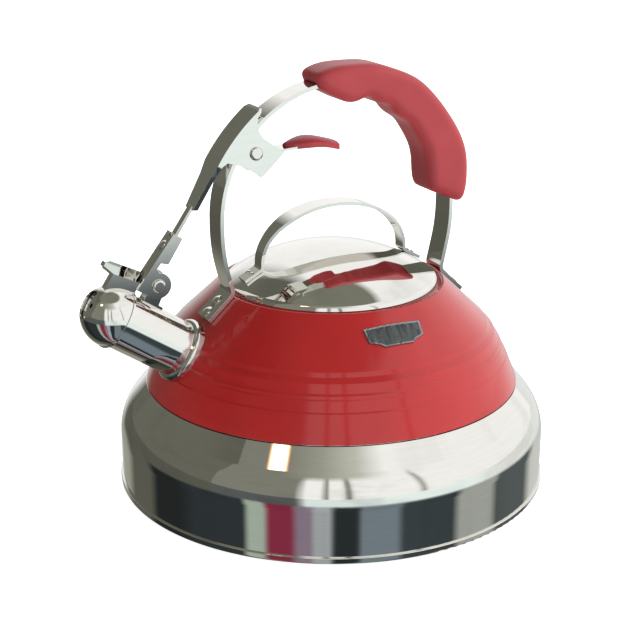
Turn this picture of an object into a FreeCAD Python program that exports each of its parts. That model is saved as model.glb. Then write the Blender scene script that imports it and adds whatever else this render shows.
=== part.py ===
import FreeCAD, Part
import Sketcher
import math
import os
import re

# Stovetop whistling kettle, in millimetres. +Z is up, the origin is the middle of the flat base,
# and the spout points along -X. The handle, lid strap, lever and spout all lie in the XZ plane.

os.makedirs("parts", exist_ok=True)
doc = FreeCAD.newDocument("whistling_kettle")
V = FreeCAD.Vector

# ---------------------------------------------------------------- driving dimensions
DIMENSIONS = [
    # body
    ("base_radius", 110.0, "outside of the rolled seam at the foot"),
    ("seam_thickness", 0.9, "how far the seam stands out of the wall"),
    ("seam_top", 4.2, "top of the rolled seam"),
    ("seam_bend", 1.2, "rounding under the seam"),
    ("foot_gap", 0.8, "seam above the hob"),
    ("body_sheet", 0.8, "stainless sheet of the body"),
    ("core_radius", 94.0, "aluminium heat-spreading disc"),
    ("core_thickness", 4.0, "aluminium heat-spreading disc"),
    ("cap_sheet", 0.6, "stainless capsule round the disc"),
    ("wall_top", 27.3, "where the upright wall ends"),
    ("shoulder_bend", 25.6, "radius between wall and shoulder"),
    ("shoulder_slope", 50.0, "degrees"),
    ("red_edge", 53.2, "height of the joint between steel and enamel"),
    ("edge_gap", 0.5, "shadow gap under the enamel's edge"),
    ("edge_inset", 0.2, "enamel's edge inside the steel's edge"),
    ("lap", 4.0, "lower shell inside the upper one"),
    ("lap_clearance", 0.05, "between the two shells"),
    ("skirt_run", 5.4, "plain enamel below the rings"),
    ("skirt_rise", 13.1, "plain enamel below the rings"),
    ("low_step_run", 0.6, "ledge under the lowest ring"),
    ("low_step_rise", 0.5, "ledge under the lowest ring"),
    ("low_band_run", 2.1, "lowest ring"),
    ("low_band_rise", 4.9, "lowest ring"),
    ("mid_step_run", 0.5, "ledge under the narrow ring"),
    ("mid_step_rise", 0.5, "ledge under the narrow ring"),
    ("mid_band_run", 0.5, "narrow ring"),
    ("mid_band_rise", 1.4, "narrow ring"),
    ("high_step_run", 0.9, "ledge under the high ring"),
    ("high_step_rise", 0.8, "ledge under the high ring"),
    ("high_band_run", 2.0, "high ring"),
    ("high_band_rise", 4.2, "high ring"),
    ("ledge_run", 2.7, "wide ledge under the top ring"),
    ("ledge_rise", 2.1, "wide ledge under the top ring"),
    ("top_band_run", 1.0, "top ring"),
    ("top_band_rise", 2.1, "top ring"),
    ("crown_slope", 43.0, "degrees, the dome above the rings"),
    ("crest_width", 1.3, "rolled edge round the mouth"),
    ("seat_depth", 1.0, "lid's seat below the rolled edge"),
    ("neck_depth", 8.0, "neck ring below the seat"),
    ("neck_flange", 3.0, "neck ring's flange under the seat"),
    # lid
    ("lid_rim_radius", 53.6, "outside of the lid"),
    ("lid_gap", 2.0, "lid's rim to the rolled edge"),
    ("lid_rest", 0.1, "lid above its seat"),
    ("lid_sheet", 0.9, "lid's sheet"),
    ("lid_edge_rise", 3.7, "height of the lid's rounded edge"),
    ("lid_edge_inset", 1.6, "width of the lid's rounded edge"),
    ("lid_edge_round", 4.0, "radius of the lid's rounded edge"),
    ("lid_dome_rise", 16.0, "height of the lid's dome"),
    ("lid_overhang", 5.6, "lid's rim outside its skirt"),
    ("skirt_clearance", 0.4, "lid's skirt inside the neck"),
    ("skirt_depth", 7.0, "lid's skirt below the seat"),
    ("lid_strap_half", 39.8, "half the span of the lid's strap"),
    ("lid_strap_rise", 26.6, "bow of the lid's strap"),
    ("lid_strap_leg", 2.4, "upright part of the lid's strap"),
    ("lid_strap_width", 12.0, "lid's strap at its top"),
    ("lid_strap_foot", 8.0, "lid's strap at its feet"),
    ("lid_strap_thickness", 1.6, "lid's strap"),
    ("lid_tab", 9.0, "length of the lid strap's feet"),
    ("lid_rivet", 1.4, "radius of the lid rivets' heads"),
    ("lid_rivet_ease", 0.13, "lid rivet's inner end off the curved lid"),
    ("lid_rivet_spread", 2.1, "rivets each side of the strap's middle"),
    # spout and whistling cap, measured along the spout from where it leaves the dome
    ("spout_radius", 13.86, "outside of the spout"),
    ("spout_tilt", 33.8, "degrees above level"),
    ("spout_root", 5.0, "spout inside the dome"),
    ("spout_length", 38.45, "spout outside the dome"),
    ("collar_width", 2.4, "collar round the spout's root"),
    ("collar_height", 2.2, "collar round the spout's root"),
    ("cap_start", 37.45, "rim of the whistling cap"),
    ("cap_clearance", 0.34, "cap round the spout"),
    ("cap_bead", 0.4, "bead round the cap's rim"),
    ("cap_collar", 2.5, "straight part of the cap"),
    ("cap_bend", 16.5, "radius of the cap's dome"),
    ("cap_face", 8.0, "radius of the cap's open face"),
    ("cap_length", 16.0, "rim to face"),
    ("cap_lip", 0.8, "lip turned in round the face"),
    ("disc_sheet", 0.6, "whistle discs"),
    ("outer_disc_at", 14.2, "outer whistle disc from the cap's rim"),
    ("inner_disc_at", 10.5, "inner whistle disc from the cap's rim"),
    ("whistle_hole", 1.3, "radius of the whistle's holes"),
    ("pin_along", 28.85, "cap's pin along the spout"),
    ("pin_height", 9.4, "cap's pin above the spout's surface"),
    ("pin_radius", 1.5, "cap's pin and trigger's pin"),
    ("pin_clearance", 0.06, "round a pin"),
    ("pin_head", 3.3, "radius of a pin's head"),
    ("pin_head_height", 1.3, "height of a pin's head"),
    ("head_gap", 0.1, "pin's head off the turning plate"),
    ("side_clearance", 0.25, "between plates that slide"),
    ("bracket_width", 6.0, "clevis on the spout"),
    ("bracket_sheet", 0.8, "clevis on the spout"),
    ("arm_sheet", 1.0, "cap's arm"),
    ("arm_length", 25.1, "cap's arm above its pin"),
    ("arm_front", 6.6, "front of the arm ahead of the pin, at its top"),
    ("arm_lean", 3.7, "degrees"),
    ("arm_depth", 5.2, "channel of the arm at its top"),
    ("web_start", 2.6, "lower edge of the arm's web above the pin"),
    ("ear_radius", 6.3, "arm's ears"),
    ("bracket_ear", 4.6, "clevis's ears"),
    ("tab_sheet", 1.2, "cap's finger tab"),
    ("tab_reach", 13.6, "finger tab past the cap's rim"),
    ("tab_width", 15.6, "finger tab"),
    ("tab_lip", 4.5, "upright lip on the finger tab"),
    ("tab_slope", 7.3, "degrees"),
    ("notch_depth", 1.5, "notch in the arm's top for the lever's tongue"),
    ("cross_pin_radius", 0.8, "pin across the arm"),
    ("cross_pin_drop", 1.3, "pin across the arm, below its top"),
    ("cross_pin_depth", 4.15, "pin across the arm, behind its front"),
    ("spring_wire", 0.35, "radius of the spring's wire"),
    ("spring_radius", 2.3, "spring's coil"),
    ("spring_turns", 4.0, "spring's coil"),
    ("spring_pitch", 0.8, "spring's coil"),
    # handle
    ("handle_offset", 1.8, "handle's middle behind the kettle's axis"),
    ("handle_radius", 63.7, "middle of the strap's bow"),
    ("handle_rise", 36.8, "bow's centre above the dome's rolled edge"),
    ("strap_width", 14.0, "handle strap"),
    ("strap_thickness", 2.0, "handle strap"),
    ("leg_lean", 5.3, "how far a leg leans out"),
    ("leg_bend", 85.0, "radius where a leg turns upright"),
    ("leg_knee", 15.0, "leg's knee below the bow's centre"),
    ("foot_bend", 3.2, "radius where a leg meets its foot"),
    ("foot_length", 18.0, "foot of the strap"),
    ("rivet_first", 6.7, "first rivet from the bend"),
    ("rivet_second", 14.1, "second rivet from the bend"),
    ("rivet_radius", 2.0, "handle rivets"),
    ("rivet_head", 3.4, "radius of a handle rivet's head"),
    ("rivet_head_height", 1.6, "height of a handle rivet's head"),
    ("rivet_ease", 0.1, "rivet's inner end off the curved shell"),
    ("grip_width", 24.0, "grip across the strap"),
    ("grip_round", 5.0, "rounding of the grip's long edges"),
    ("grip_end_round", 3.0, "rounding of the grip's ends"),
    # trigger
    ("trigger_angle", 144.2, "degrees round the handle's bow"),
    ("trigger_inset", 6.8, "trigger's pin inside the strap's middle"),
    ("trigger_sheet", 1.0, "pressed lever"),
    ("trigger_gap", 0.35, "lever's cheeks off the strap's edges"),
    ("trigger_bend", 4.0, "rounding of the lever's back"),
    ("ear_sheet", 1.2, "bracket that carries the lever"),
    ("ear_gap", 0.2, "bracket inside the lever's cheeks"),
    ("tongue_width", 4.6, "lever's tongue"),
    ("tongue_thickness", 1.4, "lever's tongue"),
    ("pad_width", 16.0, "finger pad"),
    # badge
    ("badge_sheet", 0.7, "badge"),
    ("badge_width", 30.0, "badge"),
    ("badge_height", 11.0, "badge"),
]

sheet = doc.addObject("Spreadsheet::Sheet", "Sizes")
for row, (alias, value, meaning) in enumerate(DIMENSIONS, start=1):
    sheet.set(f"A{row}", alias)
    sheet.set(f"B{row}", str(value))
    sheet.set(f"C{row}", meaning)
    sheet.setAlias(f"B{row}", alias)
doc.recompute()

ALIASES = re.compile(r"\b(" + "|".join(name for name, value, meaning in DIMENSIONS) + r")\b")


# ---------------------------------------------------------------- helpers
def linked(formula):
    """A formula of size names, written as the sheet's cells."""
    return ALIASES.sub(r"Sizes.\1", str(formula))


def number(formula):
    """The present value of a formula of size names."""
    return float(sheet.evalExpression(linked(formula)))


def place(item, x="0", y="0", z="0", turn="0", axis=V(0, 1, 0)):
    """Puts an object at a place, turned about an axis, with both tied to the sheet."""
    spot = V(number(x), number(y), number(z))
    item.Placement = FreeCAD.Placement(spot, FreeCAD.Rotation(axis, number(turn)))
    for side, formula in (("x", x), ("y", y), ("z", z)):
        if formula != "0":
            item.setExpression("Placement.Base." + side, linked(formula))
    if turn != "0":
        item.setExpression("Placement.Rotation.Angle", linked(turn))
    return item


def edge_between(start, end, bend):
    """A straight edge, or an arc of the given radius that bulges left (+) or right (-)."""
    if bend is None:
        return Part.LineSegment(start, end)
    radius, side = number(bend[0]), bend[1]
    chord = end - start
    rise = radius - math.sqrt(max(radius ** 2 - (chord.Length / 2) ** 2, 0.0))
    left = V(-chord.y, chord.x, 0).normalize()
    return Part.Arc(start, (start + end) / 2 + left * (rise * side), end)


def outline(body, corners, plane="XZ_Plane"):
    """A closed sketch. A corner is (x, y) or (x, y, (radius, side)) when an arc leaves it."""
    sketch = body.newObject("Sketcher::SketchObject", "Outline")
    face = [item for item in body.Origin.OriginFeatures if item.Role == plane][0]
    sketch.AttachmentSupport = [(face, "")]
    sketch.MapMode = "FlatFace"
    points = [V(number(corner[0]), number(corner[1]), 0) for corner in corners]
    ends = []
    for index, corner in enumerate(corners):
        start, end = points[index], points[(index + 1) % len(corners)]
        bend = corner[2] if len(corner) > 2 else None
        line = sketch.addGeometry(edge_between(start, end, bend), False)
        first = 1 if (sketch.getPoint(line, 1) - start).Length < 1e-6 else 2
        ends.append((line, first, 3 - first))
    for index, corner in enumerate(corners):
        line, first, last = ends[index]
        nearby = ends[(index + 1) % len(corners)]
        sketch.addConstraint(Sketcher.Constraint("Coincident", line, last, nearby[0], nearby[1]))
        for kind, formula in (("DistanceX", corner[0]), ("DistanceY", corner[1])):
            if formula == "0":
                axis = -2 if kind == "DistanceX" else -1
                sketch.addConstraint(Sketcher.Constraint("PointOnObject", line, first, axis))
                continue
            size = number(formula)
            spot = sketch.addConstraint(Sketcher.Constraint(kind, -1, 1, line, first, size))
            sketch.setExpression(f"Constraints[{spot}]", linked(formula))
        if len(corner) > 2:
            radius = number(corner[2][0])
            spot = sketch.addConstraint(Sketcher.Constraint("Radius", line, radius))
            sketch.setExpression(f"Constraints[{spot}]", linked(corner[2][0]))
    return sketch


def turned(label, corners):
    """A body of revolution about its own Z axis."""
    body = doc.addObject("PartDesign::Body", label)
    sketch = outline(body, corners)
    turn = body.newObject("PartDesign::Revolution", "Turn")
    turn.Profile = sketch
    turn.ReferenceAxis = (sketch, ["V_Axis"])
    turn.Angle = 360.0
    return body


def plate(label, corners, width, plane="XZ_Plane"):
    """A flat outline in the body's XZ plane, as wide along Y as stated, half each side."""
    body = doc.addObject("PartDesign::Body", label)
    pad = body.newObject("PartDesign::Pad", "Thickness")
    pad.Profile = outline(body, corners, plane)
    pad.Midplane = True
    pad.setExpression("Length", linked(width))
    return body


def rod(label, radius, length):
    """A cylinder along its own Z axis."""
    item = doc.addObject("Part::Cylinder", label)
    item.setExpression("Radius", linked(radius))
    item.setExpression("Height", linked(length))
    return item


def fused(label, *items):
    """One solid from several."""
    item = doc.addObject("Part::MultiFuse", label)
    item.Shapes = list(items)
    item.Refine = True
    return item


def grouped(label, *items):
    """Like pieces kept as separate solids."""
    item = doc.addObject("Part::Compound", label)
    item.Links = list(items)
    return item


def cut(label, base, *tools):
    """A solid less one or more others."""
    item = doc.addObject("Part::Cut", label)
    item.Base = base
    item.Tool = tools[0] if len(tools) == 1 else fused(label + "_tools", *tools)
    item.Refine = True
    return item


def common(label, *items):
    """What several solids share."""
    item = doc.addObject("Part::MultiCommon", label)
    item.Shapes = list(items)
    item.Refine = True
    return item


def rounded_path(corners):
    """Straight runs joined by tangent arcs. A corner is (x, z, radius) in the XZ plane."""
    edges, last = [], V(corners[0][0], 0, corners[0][1])
    for before, here, after in zip(corners, corners[1:], corners[2:]):
        corner = V(here[0], 0, here[1])
        back = (V(before[0], 0, before[1]) - corner).normalize()
        on = (V(after[0], 0, after[1]) - corner).normalize()
        half = back.getAngle(on) / 2
        reach, radius = here[2] / math.tan(half), here[2]
        begin, end = corner + back * reach, corner + on * reach
        inward = (back + on).normalize()
        middle = corner + inward * (radius / math.sin(half) - radius)
        if (begin - last).Length > 1e-6:
            edges.append(Part.LineSegment(last, begin).toShape())
        edges.append(Part.Arc(begin, middle, end).toShape())
        last = end
    finish = V(corners[-1][0], 0, corners[-1][1])
    edges.append(Part.LineSegment(last, finish).toShape())
    return edges


def strip(label, edges, width, thickness):
    """A flat strip swept along edges in the XZ plane, with its width along Y."""
    spine = doc.addObject("Part::Feature", label + "_path")
    spine.Shape = Part.Wire(edges)
    start = edges[0].Vertexes[0].Point
    if len(edges) > 1 and min((v.Point - start).Length for v in edges[1].Vertexes) < 1e-6:
        start = edges[0].Vertexes[-1].Point
    along = edges[0].tangentAt(edges[0].FirstParameter)
    section = doc.addObject("Part::Plane", label + "_section")
    section.setExpression("Length", linked(thickness))
    section.setExpression("Width", linked(width))
    turn = FreeCAD.Rotation(V(0, 1, 0).cross(along), V(0, 1, 0), along, "ZYX")
    corner = start - turn.multVec(V(number(thickness) / 2, number(width) / 2, 0))
    section.Placement = FreeCAD.Placement(corner, turn)
    sweep = doc.addObject("Part::Sweep", label)
    sweep.Sections = [section]
    sweep.Spine = (spine, [f"Edge{index + 1}" for index in range(len(edges))])
    sweep.Solid = True
    sweep.Frenet = False
    return sweep


def domed_pin(label, radius, length, head, head_height, tail, tail_height):
    """A rivet along Z: shank from 0 to length, domed head above it, and a tail below 0."""
    bend = f"(({head})^2 + ({head_height})^2) / (2 * {head_height})"
    body = turned(label, [
        ("0", f"-({tail_height})"),
        (tail, f"-({tail_height})"),
        (tail, "0"),
        (radius, "0"),
        (radius, length),
        (head, length, (bend, -1)),
        ("0", f"{length} + {head_height}"),
    ])
    return body


pieces = []


def keep(label, item):
    """Names a finished piece, whose label names its file."""
    item.Label = label
    pieces.append(item)
    return item


# ---------------------------------------------------------------- places worked out from the sizes
wall_r = "(base_radius - seam_thickness)"
floor_z = "(cap_sheet + core_thickness)"
wall_foot = "(foot_gap + body_sheet)"
shoulder_r = f"({wall_r} - shoulder_bend * (1 - sin(shoulder_slope)))"
shoulder_z = "(wall_top + shoulder_bend * cos(shoulder_slope))"
red_r = f"({shoulder_r} - (red_edge - {shoulder_z}) / tan(shoulder_slope))"

# The enamelled dome from its lower edge up: each step is a run inwards and a rise.
DOME_STEPS = ["skirt", "low_step", "low_band", "mid_step", "mid_band", "high_step", "high_band",
              "ledge", "top_band"]
dome = [(f"({red_r} - edge_inset)", "(red_edge + edge_gap)")]
for name in DOME_STEPS:
    last_r, last_z = dome[-1]
    dome.append((f"({last_r} - {name}_run)", f"({last_z} + {name}_rise)"))
spout_r, spout_z = dome[DOME_STEPS.index("high_band") + 1]
crown_r, crown_z = dome[-1]
mouth_r = "(lid_rim_radius + lid_gap)"
crest_r = f"({mouth_r} + crest_width)"
crest_z = f"({crown_z} + ({crown_r} - {crest_r}) * tan(crown_slope))"
bow_centre = f"({crest_z} + handle_rise)"
seat_z = f"({crest_z} - seat_depth)"
skirt_r = "(lid_rim_radius - lid_overhang)"
neck_r = f"({skirt_r} + skirt_clearance + body_sheet)"
lid_z = f"({seat_z} + lid_rest)"
lid_bend = "(((lid_rim_radius - lid_edge_inset)^2 + lid_dome_rise^2) / (2 * lid_dome_rise))"
lid_centre = f"({lid_z} + lid_edge_rise + lid_dome_rise - {lid_bend})"
spout_turn = "spout_tilt - 90"
pin_perp = "(spout_radius + pin_height)"


def on_spout(item, perp="0", side="0", along="0"):
    """Puts an object in the spout's own frame: X square to the spout and up, Z along it."""
    return place(item, f"-({spout_r}) + ({perp}) * sin(spout_tilt) - ({along}) * cos(spout_tilt)",
                 side, f"{spout_z} + ({perp}) * cos(spout_tilt) + ({along}) * sin(spout_tilt)",
                 spout_turn)


def crown_at(radius):
    """Height of the dome's crown at a radius."""
    return f"({crest_z} + ({crest_r} - ({radius})) * tan(crown_slope))"


# ---------------------------------------------------------------- base
base_cap = turned("base_cap", [
    ("0", "0"),
    ("core_radius - cap_sheet", "0", ("2 * cap_sheet", -1)),
    ("core_radius + cap_sheet", "2 * cap_sheet"),
    ("core_radius + cap_sheet", floor_z),
    ("core_radius", floor_z),
    ("core_radius", "cap_sheet"),
    ("0", "cap_sheet"),
])
keep("base_cap", base_cap)

core = rod("base_core_disc", "core_radius", "core_thickness")
keep("base_core_disc", place(core, z="cap_sheet"))

seam_edge = "0.4 * seam_thickness"
bottom_pan = turned("bottom_pan", [
    ("0", floor_z),
    ("core_radius + 2", floor_z),
    ("core_radius + 5", "foot_gap"),
    ("base_radius - seam_bend", "foot_gap", ("seam_bend", -1)),
    ("base_radius", "foot_gap + seam_bend"),
    ("base_radius", f"seam_top - {seam_edge}", (seam_edge, -1)),
    (f"base_radius - {seam_edge}", "seam_top"),
    (wall_r, "seam_top"),
    (wall_r, wall_foot),
    ("core_radius + 5.4", wall_foot),
    ("core_radius + 2.4", f"{floor_z} + body_sheet"),
    ("0", f"{floor_z} + body_sheet"),
])
keep("bottom_pan", bottom_pan)

# ---------------------------------------------------------------- lower shell
skirt_slope = "(skirt_run / skirt_rise)"
lap_r = f"({red_r} - edge_inset - 1.08 * body_sheet - lap_clearance)"
lower_shell = turned("lower_body_shell", [
    (wall_r, wall_foot),
    (wall_r, "wall_top", ("shoulder_bend", -1)),
    (shoulder_r, shoulder_z),
    (red_r, "red_edge"),
    (lap_r, "red_edge"),
    (f"{lap_r} - lap * {skirt_slope}", "red_edge + lap"),
    (f"{lap_r} - lap * {skirt_slope} - body_sheet", "red_edge + lap"),
    (f"{lap_r} - body_sheet", "red_edge - body_sheet"),
    (f"{shoulder_r} - body_sheet * sin(shoulder_slope)",
     f"{shoulder_z} - body_sheet * cos(shoulder_slope)", ("shoulder_bend - body_sheet", 1)),
    (f"{wall_r} - body_sheet", "wall_top"),
    (f"{wall_r} - body_sheet", wall_foot),
])
keep("lower_body_shell", lower_shell)

# ---------------------------------------------------------------- upper shell
inner_r, inner_z = "0.81 * body_sheet", "0.625 * body_sheet"
inner_crown = (f"({crown_r} - {inner_r} - ({seat_z} - body_sheet - {crown_z} + {inner_z})"
               " / tan(crown_slope))")
shell_outer = dome + [
    (crest_r, crest_z, ("crest_width", -1)),
    (mouth_r, f"{crest_z} - 0.3 * seat_depth"),
    (mouth_r, seat_z),
]
shell_inner = [(f"{r} - {inner_r}", f"{z} - {inner_z}") for r, z in reversed(dome[1:])]
shell_foot = (f"{dome[0][0]} - {inner_r} - {inner_z} * {skirt_slope}", dome[0][1])
upper_blank = turned("upper_shell_blank", shell_outer + [
    (neck_r, seat_z),
    (neck_r, f"{seat_z} - body_sheet"),
    (inner_crown, f"{seat_z} - body_sheet"),
] + shell_inner + [shell_foot])

spout_hole = on_spout(rod("spout_hole", "spout_radius", "spout_length"),
                      along="-2 * spout_root")

# Where the strap's feet bend, one foot before the kettle's axis and one behind it.
crown_lift = "(strap_thickness / (2 * cos(crown_slope)))"
FEET = {}
for end, sign in (("front", -1), ("rear", 1)):
    foot_r = f"(handle_radius - leg_lean + ({sign}) * handle_offset)"
    FEET[end] = (sign, foot_r)


def on_foot(item, end, distance, lift="0"):
    """Puts an object on a foot of the strap, its Z square to the dome's crown."""
    sign, foot_r = FEET[end]
    spot_r = f"({foot_r} + ({distance}) * cos(crown_slope))"
    return place(item, f"({sign}) * ({spot_r} + ({lift}) * sin(crown_slope))", "0",
                 f"{crown_at(spot_r)} + ({lift}) * cos(crown_slope)",
                 f"({sign}) * crown_slope")


RIVETS = ("rivet_first", "rivet_second")
rivet_holes = [on_foot(rod(f"{end}_{spot}_hole", "rivet_radius", "8 * body_sheet"), end, spot,
                       "-4 * body_sheet") for end in FEET for spot in RIVETS]
upper_shell = cut("upper_shell", upper_blank, spout_hole, *rivet_holes)
keep("upper_body_shell", upper_shell)

dome_solid = turned("dome_solid", shell_outer[:-1] + [
    ("0", f"{crest_z} - 0.3 * seat_depth"), ("0", dome[0][1])])

neck = turned("neck_ring", [
    (f"{neck_r} - body_sheet", seat_z),
    (neck_r, seat_z),
    (neck_r, f"{seat_z} - body_sheet"),
    (f"{neck_r} + neck_flange", f"{seat_z} - body_sheet"),
    (f"{neck_r} + neck_flange", f"{seat_z} - 2 * body_sheet"),
    (neck_r, f"{seat_z} - 2 * body_sheet"),
    (neck_r, f"{seat_z} - neck_depth"),
    (f"{neck_r} - body_sheet", f"{seat_z} - neck_depth"),
])
keep("neck_ring", neck)

# ---------------------------------------------------------------- badge: a blank shield on the crown
badge_r = f"({crest_r} + 9.8)"
badge_skin = turned("badge_skin", [
    (f"{crest_r} + 4", crown_at(f"({crest_r} + 4)")),
    (f"{crest_r} + 4 + badge_sheet * sin(crown_slope)",
     f"{crown_at(f'({crest_r} + 4)')} + badge_sheet * cos(crown_slope)"),
    (f"{crest_r} + 20 + badge_sheet * sin(crown_slope)",
     f"{crown_at(f'({crest_r} + 20)')} + badge_sheet * cos(crown_slope)"),
    (f"{crest_r} + 20", crown_at(f"({crest_r} + 20)")),
])
half_w, half_h = "badge_width / 2", "badge_height / 2"
badge_outline = plate("badge_outline", [
    (f"-{half_w}", half_h),
    (half_w, half_h),
    (f"{half_w} - 0.5", f"-{half_h} + 3.6"),
    (f"{half_w} - 5.5", f"-{half_h} + 1.6"),
    (f"{half_w} - 7.5", f"-{half_h}"),
    (f"-{half_w} + 7.5", f"-{half_h}"),
    (f"-{half_w} + 5.5", f"-{half_h} + 1.6"),
    (f"-{half_w} + 0.5", f"-{half_h} + 3.6"),
], "16")
place(badge_outline, "0", f"-({badge_r})", crown_at(badge_r), "crown_slope - 90", V(1, 0, 0))
keep("badge", common("badge", badge_skin, badge_outline))

# ---------------------------------------------------------------- lid
lid_blank = turned("lid_blank", [
    ("lid_rim_radius", lid_z),
    ("lid_rim_radius", f"{lid_z} + lid_sheet", ("lid_edge_round", -1)),
    ("lid_rim_radius - lid_edge_inset", f"{lid_z} + lid_edge_rise", (lid_bend, -1)),
    ("0", f"{lid_z} + lid_edge_rise + lid_dome_rise"),
    ("0", f"{lid_z} + lid_edge_rise + lid_dome_rise - lid_sheet", (f"{lid_bend} - lid_sheet", 1)),
    ("lid_rim_radius - lid_edge_inset - 0.56 * lid_sheet",
     f"{lid_centre} + sqrt(({lid_bend} - lid_sheet)^2"
     " - (lid_rim_radius - lid_edge_inset - 0.56 * lid_sheet)^2)"),
    ("lid_rim_radius - lid_sheet", f"{lid_z} + lid_sheet"),
    ("lid_rim_radius - lid_sheet", lid_z),
])


def lid_under(radius):
    """Height of the lid's underside at a radius."""
    return f"({lid_centre} + sqrt(({lid_bend} - lid_sheet)^2 - ({radius})^2))"


lid_skirt = turned("lid_skirt", [
    (f"{skirt_r} - body_sheet", f"{seat_z} - skirt_depth"),
    (skirt_r, f"{seat_z} - skirt_depth"),
    (skirt_r, lid_under(skirt_r)),
    (f"{skirt_r} - body_sheet", lid_under(f"({skirt_r} - body_sheet)")),
])
keep("lid_skirt", lid_skirt)

# The strap's feet touch the dome where it is as steep as they are.
half_span = number("lid_strap_half")
lid_sphere, lid_middle = number(lid_bend), number(lid_centre)
foot_middle = half_span + number("lid_tab") / 2
foot_slope = math.asin(foot_middle / lid_sphere)
foot_out = lid_sphere + number("lid_strap_thickness") / 2
foot_x, foot_z = foot_out * math.sin(foot_slope), lid_middle + foot_out * math.cos(foot_slope)
knee_z = foot_z + (foot_x - half_span) * math.tan(foot_slope)
toe = number("lid_tab") * 0.5 / math.cos(foot_slope)
bow_z = knee_z + number("lid_strap_leg")
foot_run = rounded_path([
    (-foot_x - toe * math.cos(foot_slope), foot_z - toe * math.sin(foot_slope)),
    (-half_span, knee_z, 2.4),
    (-half_span, bow_z),
])
mirrored = rounded_path([
    (half_span, bow_z),
    (half_span, knee_z, 2.4),
    (foot_x + toe * math.cos(foot_slope), foot_z - toe * math.sin(foot_slope)),
])
bow = Part.Ellipse(V(-half_span, 0, bow_z), V(0, 0, bow_z + number("lid_strap_rise")),
                   V(0, 0, bow_z))
bow_edge = Part.ArcOfEllipse(bow, 0, math.pi).toShape()
lid_strap = strip("lid_strap", foot_run + [bow_edge] + mirrored, "lid_strap_width",
                  "lid_strap_thickness")
lid_rivets = []
for side in (-1, 1):
    for across in (-1, 1):
        rivet = domed_pin(f"lid_rivet_{side}_{across}", "lid_rivet / 2",
                          "lid_strap_thickness + lid_sheet + lid_rivet_ease", "lid_rivet",
                          "0.5 * lid_rivet",
                          "lid_rivet", "0.6")
        out = lid_sphere - number("lid_sheet + lid_rivet_ease")
        rivet.Placement = FreeCAD.Placement(
            V(side * out * math.sin(foot_slope), across * number("lid_rivet_spread"),
              lid_middle + out * math.cos(foot_slope)),
            FreeCAD.Rotation(V(0, 1, 0), side * math.degrees(foot_slope)))
        lid_rivets.append(rivet)
holes = [rod(f"lid_rivet_hole_{index}", "lid_rivet / 2", "lid_strap_thickness + 4")
         for index in range(4)]
for hole, rivet in zip(holes, lid_rivets):
    away = rivet.Placement.Rotation.multVec(V(0, 0, -1))
    hole.Placement = FreeCAD.Placement(rivet.Placement.Base + away, rivet.Placement.Rotation)
strap_plan = place(plate("lid_strap_plan", [
    ("-1.4 * lid_strap_half", "-lid_strap_foot / 2"),
    ("-0.94 * lid_strap_half", "-lid_strap_foot / 2"),
    ("-0.6 * lid_strap_half", "-lid_strap_width / 2"),
    ("0.6 * lid_strap_half", "-lid_strap_width / 2"),
    ("0.94 * lid_strap_half", "-lid_strap_foot / 2"),
    ("1.4 * lid_strap_half", "-lid_strap_foot / 2"),
    ("1.4 * lid_strap_half", "lid_strap_foot / 2"),
    ("0.94 * lid_strap_half", "lid_strap_foot / 2"),
    ("0.6 * lid_strap_half", "lid_strap_width / 2"),
    ("-0.6 * lid_strap_half", "lid_strap_width / 2"),
    ("-0.94 * lid_strap_half", "lid_strap_foot / 2"),
    ("-1.4 * lid_strap_half", "lid_strap_foot / 2"),
], "200", "XY_Plane"), z=lid_z)
lid_strip = common("lid_strip", lid_strap, strap_plan)
keep("lid_handle", cut("lid_handle", lid_strip, *holes))
keep("lid_disc", cut("lid_disc", lid_blank, *holes))
keep("lid_handle_rivets", grouped("lid_handle_rivets", *lid_rivets))

# ---------------------------------------------------------------- spout
tube = turned("spout_tube", [
    ("spout_radius - body_sheet", "-spout_root"),
    ("spout_radius", "-spout_root"),
    ("spout_radius", "spout_length"),
    ("spout_radius - body_sheet", "spout_length"),
])
keep("spout_tube", on_spout(tube))

collar_r = "(spout_radius + collar_width)"
collar_ring = turned("collar_ring", [
    ("spout_radius", "-spout_root"),
    (collar_r, "-spout_root"),
    (collar_r, "collar_height - 2", (2.2, -1)),
    ("spout_radius + 0.5 * collar_width", "collar_height - 0.4"),
    ("spout_radius", "collar_height"),
])
keep("spout_collar", cut("spout_collar", on_spout(collar_ring), dome_solid))


def spout_point(perp, along):
    """World X and Z of a point on the spout's middle plane."""
    return (f"(-({spout_r}) + ({perp}) * sin(spout_tilt) - ({along}) * cos(spout_tilt))",
            f"({spout_z} + ({perp}) * cos(spout_tilt) + ({along}) * sin(spout_tilt))")


def across(item, x, z, length):
    """Lays a piece made along Z across the kettle, half of its length each side."""
    return place(item, x, f"({length}) / 2", z, "90", V(1, 0, 0))


def pin(label, radius, length, head, head_height):
    """A pin along Z from 0 to length, with a flat round-edged head beyond each end."""
    edge = f"0.9 * {head_height}"
    flat = f"{head} * 0.67"
    return turned(label, [
        ("0", f"-({head_height})"),
        (flat, f"-({head_height})", (edge, -1)),
        (head, f"-0.2 * {head_height}"),
        (head, "0"),
        (radius, "0"),
        (radius, length),
        (head, length),
        (head, f"{length} + 0.2 * {head_height}", (edge, -1)),
        (flat, f"{length} + {head_height}"),
        ("0", f"{length} + {head_height}"),
    ])


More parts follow.
